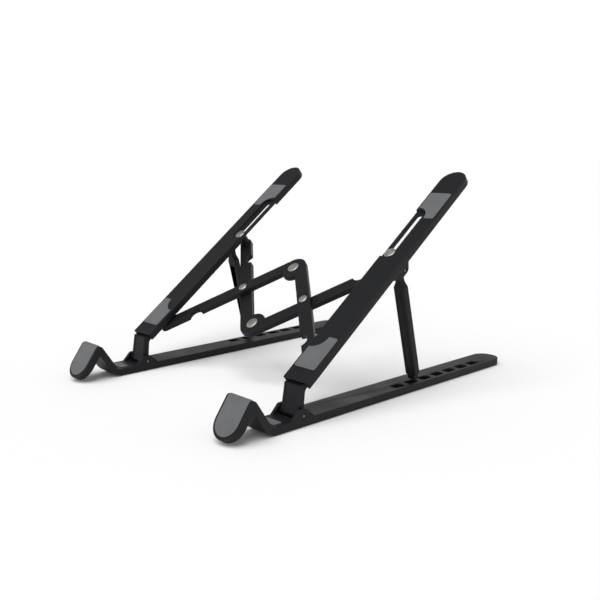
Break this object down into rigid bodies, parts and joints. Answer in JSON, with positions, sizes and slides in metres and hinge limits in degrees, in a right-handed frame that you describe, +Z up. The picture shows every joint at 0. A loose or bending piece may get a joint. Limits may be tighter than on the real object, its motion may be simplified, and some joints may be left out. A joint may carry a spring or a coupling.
{
  "type": "laptop stand",
  "caption": "Folding laptop stand of dark grey plastic with grey pads: two tilted arms on struts and hooked base arms, joined by a riveted scissor linkage",
  "frame": {"origin": "middle of the bounding box at floor level, on the undersides of the rubber feet", "axes": "+X to the right side of the stand, +Y to the rear, +Z up"},
  "size_m": [0.2268, 0.321, 0.1758],
  "materials": {
    "abs": "matte",
    "silicone": "matte",
    "steel": "satin"
  },
  "bodies": {
    "right_base": {"right_base_arm": "abs", "right_tongue_pad": "silicone", "right_valley_pad": "silicone", "right_front_foot": "silicone", "right_rear_foot": "silicone", "right_base_hinge_pin": "steel"},
    "right_post": {"right_front_post": "abs", "right_top_hinge_pin": "steel"},
    "right_arm": {"right_top_arm": "abs", "right_lower_pad": "silicone", "right_upper_pad": "silicone", "right_strut_pin": "steel", "right_fixed_pivot_rivet": "steel"},
    "right_strut": {"right_strut": "abs"},
    "left_base": {"left_base_arm": "abs", "left_tongue_pad": "silicone", "left_valley_pad": "silicone", "left_front_foot": "silicone", "left_rear_foot": "silicone", "left_base_hinge_pin": "steel"},
    "left_post": {"left_front_post": "abs", "left_top_hinge_pin": "steel"},
    "left_arm": {"left_top_arm": "abs", "left_lower_pad": "silicone", "left_upper_pad": "silicone", "left_strut_pin": "steel", "left_fixed_pivot_rivet": "steel"},
    "left_strut": {"left_strut": "abs"},
    "right_fixed_bar": {"right_fixed_bar": "abs", "rear_eye_rivet": "steel", "right_crossing_rivet": "steel"},
    "left_fixed_bar": {"left_fixed_bar": "abs", "left_crossing_rivet": "steel"},
    "right_sliding_bar": {"right_sliding_bar": "abs", "right_slider_rivet": "steel", "front_eye_rivet": "steel"},
    "left_sliding_bar": {"left_sliding_bar": "abs", "left_slider_rivet": "steel"}
  },
  "joints": [
    {"name": "fold", "type": "hinge", "parent": "right_base", "child": "right_post", "pos_m": [0.1, -0.09355, 0.00805], "axis": [-1, 0, 0], "range_deg": [0, 34.4]},
    {"name": "right_arm_hinge", "type": "hinge", "parent": "right_post", "child": "right_arm", "pos_m": [0.1, -0.08606, 0.03067], "axis": [1, 0, 0], "range_deg": [0, 7.17]},
    {"name": "right_strut_hinge", "type": "hinge", "parent": "right_arm", "child": "right_strut", "pos_m": [0.105, 0.01419, 0.1014], "axis": [1, 0, 0], "range_deg": [0, 113.1]},
    {"name": "spread", "type": "hinge", "parent": "right_arm", "child": "right_fixed_bar", "pos_m": [0.0937, -0.06949, 0.03666], "axis": [0, 0.6074, -0.7944], "range_deg": [0, 43.1]},
    {"name": "rear_eye_pivot", "type": "hinge", "parent": "right_fixed_bar", "child": "left_fixed_bar", "pos_m": [0, 0.00133, 0.09081], "axis": [0, -0.6074, 0.7944], "range_deg": [0, 86.3]},
    {"name": "right_crossing_pivot", "type": "hinge", "parent": "right_fixed_bar", "child": "right_sliding_bar", "pos_m": [0.03846, -0.02253, 0.07005], "axis": [0, -0.6074, 0.7944], "range_deg": [0, 86.3]},
    {"name": "left_crossing_pivot", "type": "hinge", "parent": "left_fixed_bar", "child": "left_sliding_bar", "pos_m": [-0.03846, -0.02253, 0.07005], "axis": [0, 0.6074, -0.7944], "range_deg": [0, 86.3]},
    {"name": "left_fixed_pivot", "type": "hinge", "parent": "left_fixed_bar", "child": "left_arm", "pos_m": [-0.0937, -0.06949, 0.03666], "axis": [0, 0.6074, -0.7944], "range_deg": [0, 43.2]},
    {"name": "left_arm_hinge", "type": "hinge", "parent": "left_arm", "child": "left_post", "pos_m": [-0.1, -0.08606, 0.03067], "axis": [-1, 0, 0], "range_deg": [0, 7.17]},
    {"name": "left_base_hinge", "type": "hinge", "parent": "left_post", "child": "left_base", "pos_m": [-0.1, -0.09355, 0.00805], "axis": [1, 0, 0], "range_deg": [0, 34.5]},
    {"name": "left_strut_hinge", "type": "hinge", "parent": "left_arm", "child": "left_strut", "pos_m": [-0.105, 0.01419, 0.1014], "axis": [1, 0, 0], "range_deg": [0, 113.1]}
  ],
  "couplings": [
    {"joint": "right_arm_hinge", "follows": "fold", "ratio": 0.20557},
    {"joint": "right_strut_hinge", "follows": "fold", "ratio": 3.2809},
    {"joint": "left_arm_hinge", "follows": "fold", "ratio": 0.20557},
    {"joint": "left_base_hinge", "follows": "fold", "ratio": 1},
    {"joint": "left_strut_hinge", "follows": "fold", "ratio": 3.2809},
    {"joint": "rear_eye_pivot", "follows": "spread", "ratio": 2},
    {"joint": "right_crossing_pivot", "follows": "spread", "ratio": 2},
    {"joint": "left_crossing_pivot", "follows": "spread", "ratio": 2},
    {"joint": "left_fixed_pivot", "follows": "spread", "ratio": 1}
  ]
}
